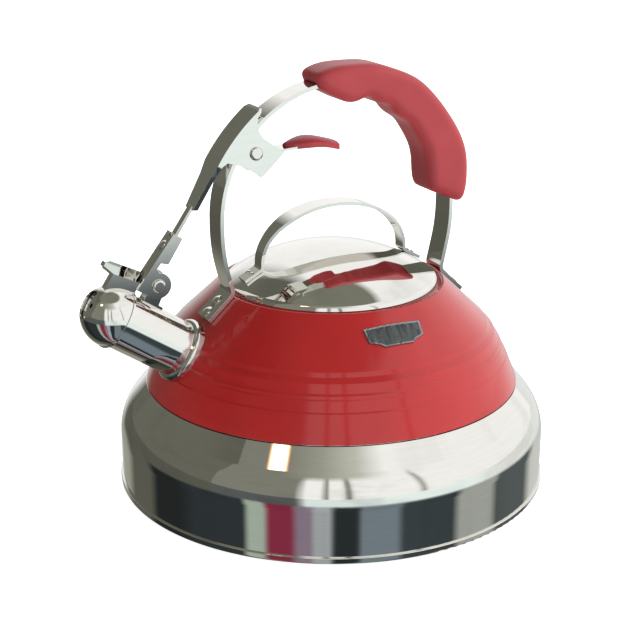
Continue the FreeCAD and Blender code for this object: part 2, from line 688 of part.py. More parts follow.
# ---------------------------------------------------------------- clevis on the spout
pin_x, pin_z = spout_point(pin_perp, "pin_along")
base_x = "-(pin_height - 1)"
ear_edge = "0.576 * bracket_ear"
bracket_blank = on_spout(plate("bracket_blank", [
    ("-(pin_height + 1.2)", "-8.35"),
    (base_x, "-8.35"),
    (base_x, "-bracket_ear - 1.05"),
    ("0", "-bracket_ear", ("bracket_ear", -1)),
    ("sqrt(bracket_ear^2 - (0.576 * bracket_ear)^2)", ear_edge),
    ("-(pin_height + 1.2)", ear_edge),
], "bracket_width"), pin_perp, "0", "pin_along")
bracket_channel = on_spout(plate("bracket_channel", [
    (base_x, "-12"),
    ("12", "-12"),
    ("12", "12"),
    (base_x, "12"),
], "bracket_width - 2 * bracket_sheet"), pin_perp, "0", "pin_along")
spout_core = on_spout(rod("spout_core", "spout_radius", "spout_length"))
bracket_hole = across(rod("bracket_hole", "pin_radius", "20"), pin_x, pin_z, "20")
keep("spout_bracket", cut("spout_bracket", bracket_blank, bracket_channel, spout_core,
                          bracket_hole))

arm_width = "(bracket_width + 2 * side_clearance + 2 * arm_sheet)"
pin_length = f"({arm_width} + 2 * head_gap)"
cap_pin = pin("cap_pivot_pin", "pin_radius", pin_length, "pin_head", "pin_head_height")
keep("cap_pivot_pin", across(cap_pin, pin_x, pin_z, pin_length))

# ---------------------------------------------------------------- whistling cap
cap_bore = "(spout_radius + cap_clearance)"
cap_side = f"({cap_bore} + body_sheet)"
cap_inner = [
    (cap_bore, "cap_collar"),
    (cap_bore, "0"),
]
cap_outer = [
    (f"{cap_side} + cap_bead", "0"),
    (f"{cap_side} + cap_bead", "1"),
    (cap_side, "1 + 0.5 * cap_bead"),
    (cap_side, "cap_collar", ("cap_bend", -1)),
    ("cap_face", "cap_length"),
]
cap_shell = turned("whistle_cap_shell", cap_outer + [
    ("cap_face - cap_lip", "cap_length + 0.5 * cap_lip"),
    ("cap_face - cap_lip", "cap_length - 0.6 * body_sheet"),
    ("cap_face - 0.5 * cap_lip", "cap_length - body_sheet", ("cap_bend - body_sheet", 1)),
] + cap_inner)
keep("whistle_cap_shell", on_spout(cap_shell, along="cap_start"))

cap_solid = on_spout(turned("cap_solid", [("0", "0")] + cap_outer + [("0", "cap_length")]),
                     along="cap_start")
cap_inside = on_spout(turned("cap_inside", [
    ("0", "0"),
    (cap_bore, "0"),
    (cap_bore, "cap_collar", ("cap_bend - body_sheet", -1)),
    ("cap_face - 0.5 * cap_lip", "cap_length - body_sheet"),
    ("0", "cap_length - body_sheet"),
]), along="cap_start")
for where in ("outer", "inner"):
    spot = f"cap_start + {where}_disc_at"
    disc = on_spout(rod(f"{where}_disc", "spout_radius", "disc_sheet"), along=spot)
    hole = on_spout(rod(f"{where}_disc_hole", "whistle_hole", "4"), along=f"{spot} - 2")
    whistle = common(f"{where}_disc_blank", disc, cap_inside)
    keep(f"whistle_{where}_disc", cut(f"whistle_{where}_disc", whistle, hole))

# ---------------------------------------------------------------- cap's arm
arm_slope = "tan(arm_lean)"


def arm_face(height):
    """Front of the arm ahead of the pin, at a height above it."""
    return f"(arm_front + (arm_length - ({height})) * {arm_slope})"


def on_arm(item):
    """Puts an object with its origin at the cap's pin, X up the arm, Z along the spout."""
    return on_spout(item, pin_perp, "0", "pin_along")


arm_blank = on_arm(plate("arm_blank", [
    ("arm_length", "arm_front"),
    ("-ear_radius", arm_face("-ear_radius")),
    ("-ear_radius", "0", ("ear_radius", -1)),
    ("0", "-ear_radius", ("ear_radius", -1)),
    ("0.866 * ear_radius", "0.5 * ear_radius"),
    ("ear_radius + 0.2", "ear_radius - 1.15"),
    ("ear_radius + 3.6", "ear_radius - 1.4"),
    ("ear_radius + 4.9", f"{arm_face('ear_radius + 4.9')} - arm_depth - 1.1"),
    ("arm_length", "arm_front - arm_depth"),
], arm_width))
arm_channel = on_arm(plate("arm_channel", [
    ("arm_length + 5", f"{arm_face('arm_length + 5')} - arm_sheet"),
    ("web_start", f"{arm_face('web_start')} - arm_sheet"),
    ("web_start", "18"),
    ("-12", "18"),
    ("-12", "-12"),
    ("arm_length + 5", "-12"),
], f"{arm_width} - 2 * arm_sheet"))
arm_hole = across(rod("arm_hole", "pin_radius + pin_clearance", "30"), pin_x, pin_z, "30")
cross_x, cross_z = spout_point(f"{pin_perp} + arm_length - cross_pin_drop",
                               "pin_along + arm_front - cross_pin_depth")
cross_hole = across(rod("cross_hole", "cross_pin_radius", "30"), cross_x, cross_z, "30")
rivet_up = "(arm_length - 7.3)"


def on_web(item, lift="0"):
    """Puts an object square to the arm's front, at its rivet."""
    ahead = arm_face(rivet_up)
    facing = "spout_tilt + arm_lean"
    return place(item, f"{pin_x} + {rivet_up} * sin(spout_tilt) - {ahead} * cos(spout_tilt)"
                       f" - ({lift}) * cos({facing})", "0",
                 f"{pin_z} + {rivet_up} * cos(spout_tilt) + {ahead} * sin(spout_tilt)"
                 f" + ({lift}) * sin({facing})", f"{spout_turn} + arm_lean")


web_hole = on_web(rod("web_hole", "1", "6"), "-3")
arm_notch = on_arm(plate("arm_notch", [
    ("arm_length + 5", "0"),
    ("arm_length + 5", "15"),
    ("arm_length - notch_depth", "15"),
    ("arm_length - notch_depth", "0"),
], "tongue_width + 0.8"))
keep("cap_arm", cut("cap_arm", arm_blank, arm_channel, arm_hole, cross_hole, web_hole,
                    arm_notch))
web_rivet = domed_pin("arm_rivet", "1", "arm_sheet", "2.7", "1.2", "1.4", "0.3")
keep("arm_rivet", on_web(web_rivet, "-arm_sheet"))
cross_pin = rod("arm_cross_pin", "cross_pin_radius", arm_width)
keep("arm_cross_pin", across(cross_pin, cross_x, cross_z, arm_width))

# ---------------------------------------------------------------- finger tab on the cap
tab_side = f"({arm_width} / 2 - arm_sheet)"
tab_end = "(cap_start + tab_reach + 0.75)"
tab_root = f"(pin_along + {arm_face('-4')})"
tab_perp = "(spout_radius + 3.39)"


def tab_at(along):
    """Underside of the finger tab at a place along the spout."""
    return f"({tab_perp} + ({tab_end} - ({along})) * tan(tab_slope))"


leg_perp = f"({pin_perp} - 3.36)"
tab_leg = on_spout(plate("tab_leg", [
    (f"{tab_at(tab_end)} + 0.6", tab_end),
    (f"{tab_at(tab_root)} + 0.6", tab_root),
    (leg_perp, f"{tab_root} - 0.4"),
    (leg_perp, "pin_along + 4.05"),
    (f"{leg_perp} - 3.3", "pin_along + 4.05"),
    (f"{leg_perp} - 3.3", "cap_start + 0.1"),
    ("10", "cap_start + 0.1"),
    ("10", f"{tab_end} - 1.2"),
    (f"{tab_at(tab_end)} - 1.2", tab_end),
], "tab_sheet"), side=f"-({tab_side} - tab_sheet / 2)")
tab_plate = on_spout(plate("tab_plate", [
    (tab_at(tab_end), tab_end),
    (f"{tab_at(tab_end)} + tab_sheet", tab_end),
    (f"{tab_at(tab_root)} + tab_sheet", tab_root),
    (tab_at(tab_root), tab_root),
], "tab_width"), side=f"tab_width / 2 - {tab_side}")
flange_side = f"(tab_width - {tab_side})"
tab_flange = on_spout(plate("tab_flange", [
    (tab_at(tab_end), tab_end),
    (f"{tab_at(tab_end)} + tab_lip - 1.5", tab_end),
    (f"{tab_at(f'({tab_end} - 1.8)')} + tab_lip", f"{tab_end} - 1.8"),
    (f"{tab_at('pin_along + 4')} + tab_lip", "pin_along + 4"),
    (f"{tab_at('pin_along + 1.2')} + tab_lip - 1.5", "pin_along + 1.2"),
    (tab_at("pin_along + 1.2"), "pin_along + 1.2"),
], "tab_sheet"), side=f"{flange_side} - tab_sheet / 2")
leg_return = on_spout(plate("leg_return", [
    ("10", f"{tab_end} - 1"),
    (f"{tab_at(tab_end)} + 0.6", f"{tab_end} - 1"),
    (f"{tab_at(tab_end)} + 0.6", tab_end),
    ("10", tab_end),
], "4.7"), side=f"2.35 - {tab_side}")
lip_return = on_spout(plate("lip_return", [
    (f"{tab_at(tab_end)} + 0.6", f"{tab_end} - 1"),
    (f"{tab_at(tab_end)} + tab_lip - 1.5", f"{tab_end} - 1"),
    (f"{tab_at(tab_end)} + tab_lip - 1.5", tab_end),
    (f"{tab_at(tab_end)} + 0.6", tab_end),
], "4.4"), side=f"{flange_side} + 1.2")
tab_whole = fused("tab_whole", tab_leg, tab_plate, tab_flange, leg_return, lip_return)
keep("cap_thumb_tab", cut("cap_thumb_tab", tab_whole, cap_solid))

# ---------------------------------------------------------------- spring round the cap's pin
coil_height = number("spring_turns") * number("spring_pitch")
coil = Part.makeHelix(number("spring_pitch"), coil_height, number("spring_radius"))
climb = V(0, 2 * math.pi * number("spring_radius"), number("spring_pitch")).normalize()
first = coil.Vertexes[0].Point
final = coil.Vertexes[-1].Point
half_turn = FreeCAD.Rotation(V(0, 0, 1), 360 * number("spring_turns"))
spring_path = doc.addObject("Part::Feature", "spring_path")
spring_path.Shape = Part.Wire([Part.makeLine(first - climb * 4, first)] + coil.Edges
                              + [Part.makeLine(final, final + half_turn.multVec(climb) * 4)])
spring_section = doc.addObject("Part::Circle", "spring_section")
spring_section.setExpression("Radius", "Sizes.spring_wire")
spring_section.Placement = FreeCAD.Placement(first - climb * 4,
                                             FreeCAD.Rotation(V(0, 0, 1), climb))
spring = doc.addObject("Part::Sweep", "spring")
spring.Sections = [spring_section]
spring.Spine = (spring_path, [f"Edge{n + 1}" for n in range(len(spring_path.Shape.Edges))])
spring.Solid = True
spring.Frenet = True
keep("cap_return_spring", across(spring, pin_x, pin_z, str(coil_height)))

# ---------------------------------------------------------------- handle strap
bow_radius, knee = number("handle_radius"), number(f"{bow_centre} - leg_knee")
lean_in = bow_radius - number("leg_lean")
middle_x, crown_tan = number("handle_offset"), math.tan(math.radians(number("crown_slope")))
rise = number(crown_lift)
tab_run = number("foot_length * cos(crown_slope)")
front_z, rear_z = [number(crown_at(FEET[end][1])) + rise for end in ("front", "rear")]
shoulder_z_top = number(f"{bow_centre} + handle_radius")
bend = number("foot_bend + strap_thickness / 2")
leg = number("leg_bend")
left = rounded_path([
    (middle_x - lean_in - tab_run, front_z - tab_run * crown_tan),
    (middle_x - lean_in, front_z, bend),
    (middle_x - bow_radius, knee, leg),
    (middle_x - bow_radius, number(bow_centre)),
])
right = rounded_path([
    (middle_x + bow_radius, number(bow_centre)),
    (middle_x + bow_radius, knee, leg),
    (middle_x + lean_in, rear_z, bend),
    (middle_x + lean_in + tab_run, rear_z - tab_run * crown_tan),
])
bow_top = Part.Arc(V(middle_x - bow_radius, 0, number(bow_centre)),
                   V(middle_x, 0, shoulder_z_top),
                   V(middle_x + bow_radius, 0, number(bow_centre))).toShape()
strap = strip("strap", left + [bow_top] + right, "strap_width", "strap_thickness")
keep("handle_strap", cut("handle_strap", strap, *rivet_holes))
for end in FEET:
    pair = []
    for spot in RIVETS:
        body = domed_pin(f"{end}_{spot}", "rivet_radius",
                         "strap_thickness + body_sheet + rivet_ease", "rivet_head",
                         "rivet_head_height", "rivet_radius + 1", "0.8")
        pair.append(on_foot(body, end, spot, "-(body_sheet + rivet_ease)"))
    keep(f"{end}_handle_rivets", grouped(f"{end}_handle_rivets", *pair))

# ---------------------------------------------------------------- grip
# Outline as angle round the bow (degrees) and distance outside or inside its middle line.
GRIP_BACK = [(-2.7, 4.3), (1, 6.6), (10, 9.1), (18, 10.7), (26, 11.0), (35, 10.6), (45, 10.8),
             (57, 11.3), (67, 10.3), (76, 9.9), (84, 8.7), (94, 7.9), (102.6, 5.6)]
GRIP_FRONT = [(101.5, -1.4), (98, -4.4), (92, -8.1), (87, -10.0), (81, -9.1), (76, -6.7),
              (69, -8.1), (64, -7.4), (57, -9.3), (48, -9.0), (40, -9.9), (29, -10.9),
              (22, -12.2), (11, -14.1), (5.5, -13.3)]


def round_bow(spots):
    """Points round the handle's bow from angles and distances."""
    centre = V(middle_x, 0, number(bow_centre))
    return [centre + V(math.cos(math.radians(turn)), 0, math.sin(math.radians(turn)))
            * (bow_radius + away) for turn, away in spots]


back, front = round_bow(GRIP_BACK), round_bow(GRIP_FRONT)
curves = []
for row in (back, front):
    curve = Part.BSplineCurve()
    curve.interpolate(row)
    curves.append(curve.toShape())
grip_edges = [curves[0], Part.makeLine(back[-1], front[0]), curves[1],
              Part.makeLine(front[-1], back[0])]
grip_outline = doc.addObject("Part::Feature", "grip_outline")
grip_outline.Shape = Part.Face(Part.Wire(grip_edges))
grip_blank = doc.addObject("Part::Extrusion", "grip_blank")
grip_blank.Base = grip_outline
grip_blank.DirMode = "Custom"
grip_blank.Dir = V(0, 1, 0)
grip_blank.setExpression("LengthFwd", "Sizes.grip_width")
grip_blank.Symmetric = True
grip_blank.Solid = True


def softened(label, base, radius, across_kettle):
    """Rounds the edges that run across the kettle, or else those of the two flat sides."""
    doc.recompute()
    sides = number("grip_width / 2")
    item = doc.addObject("Part::Fillet", label)
    item.Base = base
    item.Edges = [(n + 1, number(radius), number(radius))
                  for n, edge in enumerate(base.Shape.Edges)
                  if (across_kettle and edge.BoundBox.YLength > 1)
                  or (not across_kettle and edge.BoundBox.YLength < 0.01
                      and sides - abs(edge.BoundBox.YMax) < 0.01)]
    return item


grip_ends = softened("grip_ends", grip_blank, "grip_end_round", True)
grip_sides = softened("grip_sides", grip_ends, "grip_round", False)
keep("grip", cut("grip", grip_sides, strap))

# ---------------------------------------------------------------- trigger
trigger_r = "(handle_radius - trigger_inset)"
trigger_x = f"(handle_offset + {trigger_r} * cos(trigger_angle))"
trigger_z = f"({bow_centre} + {trigger_r} * sin(trigger_angle))"
lever_inside = "(strap_width + 2 * trigger_gap)"
lever_width = f"({lever_inside} + 2 * trigger_sheet)"


def on_trigger(item, side="0", turn="0"):
    """Puts an object with its origin at the trigger's pin."""
    return place(item, trigger_x, side, trigger_z, turn)


ring_in = "(handle_radius - strap_thickness / 2)"
seat_x = f"(sqrt({ring_in}^2 - 5.5^2) - {trigger_r})"
ear_width = f"({lever_inside} - 2 * ear_gap - 0.5)"
trigger_bracket_blank = on_trigger(plate("trigger_bracket_blank", [
    (seat_x, "-5.5", (ring_in, -1)),
    (seat_x, "5.5"),
    ("3.4", "5.5"),
    ("0", "4.2", ("4.2", -1)),
    ("-4.2", "0", ("4.2", -1)),
    ("0", "-4.2"),
    ("3.4", "-5.5"),
], ear_width), turn="-trigger_angle")
trigger_channel = on_trigger(plate("trigger_channel", [
    ("4.4", "-8"),
    ("4.4", "8"),
    ("-6", "8"),
    ("-6", "-8"),
], f"{ear_width} - 2 * ear_sheet"), turn="-trigger_angle")
ear_hole = across(rod("ear_hole", "pin_radius", "40"), trigger_x, trigger_z, "40")
keep("trigger_bracket", cut("trigger_bracket", trigger_bracket_blank, trigger_channel, ear_hole))
trigger_pin_length = f"({lever_width} + 2 * head_gap)"
trigger_pin = pin("trigger_pivot_pin", "pin_radius", trigger_pin_length, "pin_head",
                  "pin_head_height")
keep("trigger_pivot_pin", across(trigger_pin, trigger_x, trigger_z, trigger_pin_length))

cheek_front = [
    ("1.3", "16.9", ("10.5", -1)),
    ("4.5", "6.6"),
    ("14.9", "-0.6"),
    ("4.3", "-10.8"),
    ("2.2", "-11.8", ("38", -1)),
    ("-14.7", "-3.2"),
    ("-17.3", "-4.8"),
    ("-19.9", "-9.2"),
    ("-29.1", "-25.1"),
]
lever_side = on_trigger(plate("lever_side", [
    ("-31.6", "-24.9"),
    ("-22.5", "-9.1", ("95", 1)),
    ("3.1", "21.4"),
    ("4.0", "20.6"),
] + cheek_front, lever_width))
lever_inner_side = on_trigger(plate("lever_inner_side", [
    ("-38.3", "-38.5"),
    ("-21.63", "-9.6", ("95 - trigger_sheet", 1)),
    ("3.74", "20.63"),
    ("12", "28"),
    ("30", "0"),
    ("5", "-40"),
], lever_width))


def lever_plan(label, inset):
    """The lever seen square to its lower end, X along it."""
    half = f"({lever_width} / 2 - {inset})"
    side = [
        (f"22 - {inset}", f"{half} - trigger_bend"),
        (f"22 - {inset} - trigger_bend", half),
        ("-13", half),
        ("-20", f"{half} - 1.9"),
        ("-38.5", f"{half} - 3.6"),
    ]
    corners = side + [(x, f"-({y})") for x, y in reversed(side)]
    return on_trigger(plate(label, corners, "120", "XY_Plane"), turn="-60")


lever_shape = common("lever_shape", lever_side, lever_plan("lever_plan", "0"))
lever_hollow = common("lever_hollow", lever_inner_side, lever_plan("hollow_plan", "trigger_sheet"))
lever_hole = across(rod("lever_hole", "pin_radius + pin_clearance", "40"), trigger_x, trigger_z,
                    "40")
lever_shell = cut("lever_shell", lever_shape, lever_hollow, lever_hole)
cross_web = on_trigger(plate("cross_web", [
    ("14.9", "-0.6"),
    ("14.2", "0.1"),
    ("3.6", "-10.1"),
    ("4.3", "-10.8"),
], lever_width))
pad_tongue = on_trigger(plate("pad_tongue", [
    ("14.4", "-1.2"),
    ("24", "-0.6"),
    ("40", "-0.6"),
    ("40", "0.6"),
    ("24", "0.6"),
    ("14.4", "0"),
], "10"))
# The tongue runs from the lever's lower end into the channel of the cap's arm.
mouth_x, mouth_z = spout_point(f"{pin_perp} + arm_length",
                               "pin_along + arm_front - 2.35")
root_x, root_z = f"({trigger_x} - 30.4)", f"({trigger_z} - 23.8)"
tip_x, tip_z = f"({mouth_x} - 2.0)", f"({mouth_z} - 2.84)"
side_x, side_z = "(0.41 * tongue_thickness)", "(0.29 * tongue_thickness)"
tongue = plate("tongue", [
    (f"{root_x} + {side_x}", f"{root_z} - {side_z}"),
    (f"{root_x} - {side_x}", f"{root_z} + {side_z}"),
    (f"{tip_x} - {side_x}", f"{tip_z} + {side_z}"),
    (f"{tip_x} + {side_x}", f"{tip_z} - {side_z}"),
], "tongue_width")
keep("trigger_lever", fused("trigger_lever", lever_shell, cross_web, pad_tongue, tongue))

pad_side = on_trigger(plate("pad_side", [
    ("19.6", "0.7", ("24", 1)),
    ("44.6", "-0.4"),
    ("44.8", "-2.2"),
    ("43.4", "-3.4"),
    ("32", "-1.9"),
    ("21.5", "-1.2"),
], "pad_width"))
pad_plan = on_trigger(plate("pad_plan", [
    ("19.6", "-2.5"),
    ("27", "-pad_width / 2"),
    ("37", "-pad_width / 2", ("pad_width / 2", -1)),
    ("37 + pad_width / 2", "0", ("pad_width / 2", -1)),
    ("37", "pad_width / 2"),
    ("27", "pad_width / 2"),
    ("19.6", "2.5"),
], "20", "XY_Plane"))
keep("trigger_pad", cut("trigger_pad", common("pad_shape", pad_side, pad_plan), pad_tongue))

# ---------------------------------------------------------------- checks and files
doc.recompute()
for item in doc.Objects:
    if "Invalid" in item.State or "Error" in item.State:
        raise RuntimeError(f"{item.Label} did not compute: {item.State}")
for item in pieces:
    shape = item.Shape
    if shape.isNull() or not shape.isValid() or not shape.Solids:
        raise RuntimeError(f"{item.Label} is not a sound solid")
for item in pieces:
    Part.export([item], f"parts/{item.Label}.step")
    print(item.Label, len(item.Shape.Solids), round(item.Shape.Volume, 1))
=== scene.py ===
"""A stovetop whistling kettle: polished stainless steel, a red enamelled dome and a red grip."""
import math

import bpy
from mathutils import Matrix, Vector


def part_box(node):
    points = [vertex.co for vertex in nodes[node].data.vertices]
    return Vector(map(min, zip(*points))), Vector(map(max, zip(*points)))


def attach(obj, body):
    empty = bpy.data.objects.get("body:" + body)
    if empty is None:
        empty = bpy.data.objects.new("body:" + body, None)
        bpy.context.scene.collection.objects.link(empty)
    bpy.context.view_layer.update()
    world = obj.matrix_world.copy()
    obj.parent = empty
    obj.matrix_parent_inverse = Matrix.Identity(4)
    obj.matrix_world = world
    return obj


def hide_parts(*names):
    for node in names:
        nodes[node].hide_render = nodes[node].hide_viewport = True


MM = 0.001
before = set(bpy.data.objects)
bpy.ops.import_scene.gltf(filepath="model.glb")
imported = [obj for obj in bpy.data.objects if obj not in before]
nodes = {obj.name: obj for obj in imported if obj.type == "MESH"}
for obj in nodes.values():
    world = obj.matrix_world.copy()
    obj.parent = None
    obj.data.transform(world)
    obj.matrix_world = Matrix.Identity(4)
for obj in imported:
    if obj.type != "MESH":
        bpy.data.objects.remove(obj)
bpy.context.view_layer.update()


# ---------------------------------------------------------------- camera
# A long lens a little above the kettle and to the left of its front, so that the spout comes
# towards the eye on the left and the handle's arch is seen three-quarters on.
def aimed(item, spot, at):
    """Turns a camera or a lamp that stands at a spot to face another."""
    item.rotation_euler = (at - spot).to_track_quat("-Z", "Y").to_euler()


CAMERA_PLACE = Vector((-0.3155, -0.6197, 0.3214))
CAMERA_AIM = Vector((-0.0052, 0.0026, 0.0817))
bpy.ops.object.camera_add(location=CAMERA_PLACE)
camera = bpy.context.object
aimed(camera, CAMERA_PLACE, CAMERA_AIM)
camera.data.lens = 80.8
camera.data.clip_end = 20
bpy.context.scene.camera = camera
bpy.context.scene.view_settings.view_transform = "Standard"


# ---------------------------------------------------------------- table
# A white table top, matt and a little rough, left out of what the steel reflects.
def colour(hex_code):
    """An sRGB hex colour as the linear RGBA that a shader takes."""
    parts = [int(hex_code[i:i + 2], 16) / 255 for i in (1, 3, 5)]
    return [c / 12.92 if c <= 0.04045 else ((c + 0.055) / 1.055) ** 2.4 for c in parts] + [1.0]


def wire(made, **links):
    """Sets or links a node's inputs, by name or by place (i0, i1). A node given as a value
    stands for its first output."""
    for name, value in links.items():
        numbered = name[0] == "i" and name[1:].isdigit()
        socket = made.inputs[int(name[1:])] if numbered else made.inputs[name.replace("_", " ")]
        if isinstance(value, bpy.types.Node):
            value = value.outputs[0]
        if isinstance(value, bpy.types.NodeSocket):
            made.id_data.links.new(value, socket)
        else:
            socket.default_value = value


def node(tree, kind, settings=None, stops=(), **links):
    """Adds a node with its settings, its inputs and, on a colour ramp, its stops: each is a
    place and a hex colour or a grey value."""
    made = tree.nodes.new("ShaderNode" + kind)
    for name, value in (settings or {}).items():
        setattr(made, name, value)
    if stops:
        points = made.color_ramp.elements
        points.remove(points[-1])
        for index, (at, value) in enumerate(sorted(stops, key=lambda stop: stop[0])):
            point = points[0] if index == 0 else points.new(at)
            point.position = at
            point.color = colour(value) if isinstance(value, str) else (value, value, value, 1)
    wire(made, **links)
    return made


def material(name):
    """A new material, its node tree, its shader, and the place on the piece in metres."""
    made = bpy.data.materials.new(name)
    made.use_nodes = True
    tree = made.node_tree
    place = tree.nodes.new("ShaderNodeTexCoord").outputs["Object"]
    return made, tree, tree.nodes["Principled BSDF"], place


TABLE_RADIUS = 30
TABLE_BELOW = 0.2 * MM
bpy.ops.mesh.primitive_circle_add(vertices=96, radius=TABLE_RADIUS, fill_type="NGON",
                                  location=(0, 0, -TABLE_BELOW))
table = bpy.context.object
table.name = "table"
bpy.ops.object.transform_apply(location=True)
# Melamine table top: white, matt, so faintly grained that only its softness shows.
melamine, tree, shader, place = material("white_melamine")
grain = node(tree, "TexNoise", Vector=place, Scale=900.0, Detail=2.0)
wire(shader, Roughness=0.9, Specular_IOR_Level=0.0,
     Base_Color=node(tree, "ValToRGB", stops=[(0.3, "#fafafa"), (0.7, "#ffffff")], Fac=grain),
     Emission_Color=colour("#ffffff"), Emission_Strength=0.8)
table.data.materials.append(melamine)
table.visible_glossy = False

# ---------------------------------------------------------------- room
# Polished steel is only as good as what it reflects. The room round it has olive-grey walls,
# tall windows in front and on the right, and dark furniture below the windows' sills.
room = bpy.data.worlds.new("room")
bpy.context.scene.world = room
room.use_nodes = True
tree = room.node_tree
tree.nodes.clear()
direction = node(tree, "TexCoord").outputs["Generated"]
east, north, up = node(tree, "SeparateXYZ", Vector=direction).outputs
around = node(tree, "Math", {"operation": "ARCTAN2"}, i0=north, i1=east)
turn = node(tree, "Math", {"operation": "MULTIPLY_ADD"}, i0=around, i1=0.5 / math.pi, i2=0.5)
height = node(tree, "Math", {"operation": "ARCSINE"}, i0=up)
tilt = node(tree, "Math", {"operation": "MULTIPLY_ADD"}, i0=height, i1=1 / math.pi, i2=0.5)

BAND_BLUR = 0.003


def bearing(degrees):
    """A compass direction, counted anticlockwise from +X, as a place on a turn ramp."""
    return ((degrees + 180) % 360) / 360


def lift(degrees):
    """A height above the horizon as a place on a tilt ramp."""
    return (degrees + 90) / 180


def upright_bands(spans):
    """The room's shade by compass direction, from bands side by side: from, to, colour. Each
    blurs a little into the next. A hair off its end keeps 180 degrees from wrapping round."""
    stops = []
    for first, last, tint in spans:
        stops += [(bearing(first) + BAND_BLUR, tint),
                  (bearing(last - 0.001) - BAND_BLUR, tint)]
    return node(tree, "ValToRGB", stops=stops, Fac=turn)


def above(degrees, blur):
    """1 above a height and 0 below it, with a soft edge of some degrees either way."""
    return node(tree, "ValToRGB", Fac=tilt,
                stops=[(lift(degrees - blur), 0.0), (lift(degrees + blur), 1.0)])


furniture = upright_bands([
    (-180, -163, "#30363a"), (-162, -152, "#a5b3a8"), (-151, -137, "#8a3048"),
    (-135, -127, "#8c7f90"), (-126, -117, "#a9b0b4"), (-116, -102, "#2c3234"),
    (-101, -81, "#75828c"), (-79, -48, "#3c4448"), (-45, -21, "#a4a8a4"),
    (-18, 12, "#565d5e"), (20, 80, "#c9ccc8"), (86, 100, "#9a9a8e"), (108, 130, "#5c5d54"),
    (135, 155, "#26292a"), (165, 180, "#30363a")])
sills = upright_bands([
    (-180, -133, "#5a5f60"), (-130, -92, "#e6f3f3"), (-90, -40, "#f4ffff"),
    (-20, 85, "#e8ecea"), (95, 180, "#5c5d54")])
windows = upright_bands([
    (-180, -134, "#83847a"), (-131, -121, "#ffffff"), (-120, -119, "#8d9088"),
    (-118, -109, "#ffffff"), (-108, -107, "#8d9088"), (-106, -71, "#ffffff"),
    (-70, -68, "#a8aaa4"), (-67, 84, "#ffffff"), (96, 180, "#6a6b62")])
upper_walls = upright_bands([
    (-180, -150, "#83847a"), (-125, -124, "#a0a196"), (-100, -99, "#c4c5bc"),
    (-80, 84, "#ffffff"), (96, 180, "#62635a")])
# From the furniture up: the sills, the windows, the walls above them and the ceiling.
shade = furniture
for start, blur, layer in ((-16, 2, sills), (0, 0.6, windows), (41, 5, upper_walls),
                           (63.5, 2.5, colour("#7d7e72"))):
    shade = node(tree, "MixRGB", Fac=above(start, blur), Color1=shade, Color2=layer)

# A lamp high on the left: a warm round shade with an amber rim, brighter than all the rest.
LAMP = Vector((-0.558, -0.261, 0.788))
facing = node(tree, "VectorMath", {"operation": "DOT_PRODUCT"}, i0=direction, i1=LAMP)
from_lamp = node(tree, "Math", {"operation": "ARCCOSINE"}, i0=facing.outputs["Value"])
glow = node(tree, "ValToRGB", stops=[(0.06, 1.0), (0.085, 0.0)], Fac=from_lamp)
lampshade = node(tree, "ValToRGB", stops=[(0.045, "#fff6dc"), (0.075, "#e8892c")], Fac=from_lamp)
shade = node(tree, "MixRGB", Fac=glow, Color1=shade, Color2=lampshade)
# Walls and glass are never one even tone: broad clouds darken them by up to a seventh.
cloudy = node(tree, "TexNoise", Vector=direction, Scale=2.2, Detail=3.0)
uneven = node(tree, "ValToRGB", stops=[(0.3, 0.7), (0.5, 1.0)], Fac=cloudy)
shade = node(tree, "MixRGB", {"blend_type": "MULTIPLY"}, Fac=0.5, Color1=shade, Color2=uneven)
ROOM_LIGHT = 1.12
LAMP_LIGHT = 2.5
brightness = node(tree, "Math", {"operation": "MULTIPLY_ADD"}, i0=glow, i1=LAMP_LIGHT,
                  i2=ROOM_LIGHT)
lit = node(tree, "Background", Color=shade, Strength=brightness)
# The eye sees plain white behind the kettle; only the light and the reflections see the room.
plain = node(tree, "Background", Color=(1, 1, 1, 1), Strength=1.0)
by_eye = node(tree, "LightPath").outputs["Is Camera Ray"]
node(tree, "OutputWorld", Surface=node(tree, "MixShader", i0=by_eye, i1=lit, i2=plain))

# Soft lamps, out of sight in the polish: one overhead, one on the right in front.
KETTLE_MIDDLE = Vector((0, 0, 0.08))
for spot, size, power in (((0.1, -0.2, 1.5), 1.6, 4.0), ((1.1, -0.5, 0.8), 0.8, 13.0)):
    bpy.ops.object.light_add(type="AREA", location=spot)
    lamp = bpy.context.object
    aimed(lamp, Vector(spot), KETTLE_MIDDLE)
    lamp.data.size = size
    lamp.data.energy = power
    lamp.visible_glossy = False


# ---------------------------------------------------------------- base
# The base is a disc of aluminium shut in a brushed stainless capsule, which spreads the hob's
# heat. The pan's foot is pressed over it and its edge is rolled into a seam with the wall.
def finished(finish, *names):
    """Gives a material to CAD nodes by name."""
    for item in names:
        nodes[item].data.materials.clear()
        nodes[item].data.materials.append(finish)


# Brushed stainless steel: fine rings from turning under an abrasive pad, which blur the shine.
brushed, tree, shader, place = material("brushed_stainless_steel")
level = node(tree, "VectorMath", {"operation": "MULTIPLY"}, i0=place, i1=(1, 1, 0))
reach = node(tree, "VectorMath", {"operation": "LENGTH"}, i0=level).outputs["Value"]
rings = node(tree, "TexNoise", {"noise_dimensions": "1D"}, W=reach, Scale=1400.0, Detail=4.0)
wire(shader, Metallic=1.0,
     Base_Color=node(tree, "ValToRGB", stops=[(0.3, "#bdbcb6"), (0.7, "#d2d1cb")], Fac=rings),
     Roughness=node(tree, "ValToRGB", stops=[(0.2, 0.22), (0.8, 0.38)], Fac=rings),
     Normal=node(tree, "Bump", Strength=0.15, Distance=0.1 * MM, Height=rings))
finished(brushed, "base_cap")
